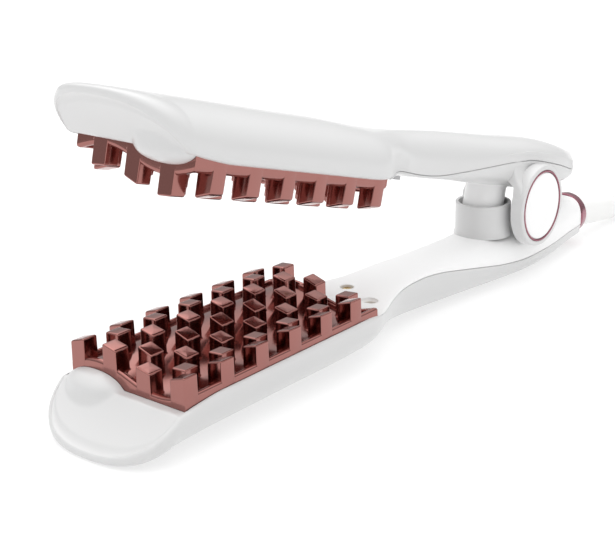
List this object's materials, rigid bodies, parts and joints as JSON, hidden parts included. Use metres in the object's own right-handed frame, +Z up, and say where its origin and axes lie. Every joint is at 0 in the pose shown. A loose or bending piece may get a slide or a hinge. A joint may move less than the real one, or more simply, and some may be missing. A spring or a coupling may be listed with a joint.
{
  "type": "hair crimper",
  "caption": "Hand-held hair crimper: two hinged arms with wave-shaped pegged plates, sprung hinge with round side cap, rear collar, ribbed cord sleeve and mains cord with plug",
  "frame": {"origin": "centre of the bounding box of the crimper without its cord, on the surface it lies on", "axes": "+X from the lips to the cord end, +Y to the side away from the viewer who sees the lips on the left, +Z up"},
  "size_m": [0.6147, 0.044, 0.0915],
  "materials": {
    "white_plastic": "smooth moulded white",
    "rose_gold": "rose-gold coloured metallic coating",
    "rose_trim": "rose-gold plated",
    "gloss_cap": "polished white",
    "screw_brass": "yellow passivated",
    "spring_steel": "drawn wire and ground pins",
    "heater_ceramic": "fired, uncoated",
    "heat_shield": "dull insulating board",
    "circuit_board": "solder-masked board",
    "sleeve_white": "soft satin white",
    "cord_white": "satin white sheath",
    "tie_band": "plastic-coated tie",
    "plug_pins": "nickel plated",
    "switch_grey": "fine-textured grey"
  },
  "bodies": {
    "lower_arm": {"lower_shell": "white_plastic", "lower_cover": "white_plastic", "lower_plate": "rose_gold", "lower_heater": "heater_ceramic", "lower_shield": "heat_shield", "control_board": "circuit_board", "thermal_fuse": "spring_steel", "return_spring": "spring_steel", "lower_screw_centre": "screw_brass", "lower_screw_near": "screw_brass", "lower_screw_far": "screw_brass", "pivot_pin_near": "spring_steel", "pivot_pin_far": "spring_steel", "rear_collar": "rose_trim", "cord": "cord_white", "cord_hank": "cord_white", "cord_tail": "cord_white", "hank_tie": "tie_band", "plug_body": "cord_white", "plug_pin_a": "plug_pins", "plug_pin_b": "plug_pins"},
    "upper_arm": {"upper_shell": "white_plastic", "upper_cover": "white_plastic", "upper_plate": "rose_gold", "upper_heater": "heater_ceramic", "upper_shield": "heat_shield", "upper_screw_centre": "screw_brass", "upper_screw_near": "screw_brass", "upper_screw_far": "screw_brass", "hub_ring_near": "rose_trim", "hub_cap_near": "gloss_cap"},
    "switch": {"power_switch": "switch_grey"},
    "sleeve": {"cord_sleeve": "sleeve_white"}
  },
  "joints": [
    {"name": "arm_hinge", "type": "hinge", "parent": "lower_arm", "child": "upper_arm", "pos_m": [0.0479, 0, 0.02736], "axis": [0, -1, 0], "range_deg": [0, 15.5], "stiffness_Nm_per_rad": 0.75, "springref_deg": -11.46, "deforming": ["return_spring"]},
    {"name": "switch_slide", "type": "slide", "parent": "upper_arm", "child": "switch", "axis": [0.9703, 0, -0.2421], "range_m": [0, 0.0065]},
    {"name": "sleeve_swivel", "type": "hinge", "parent": "lower_arm", "child": "sleeve", "pos_m": [0.09832, 0, 0.01186], "axis": [0.9905, 0, -0.1376], "continuous": true}
  ]
}
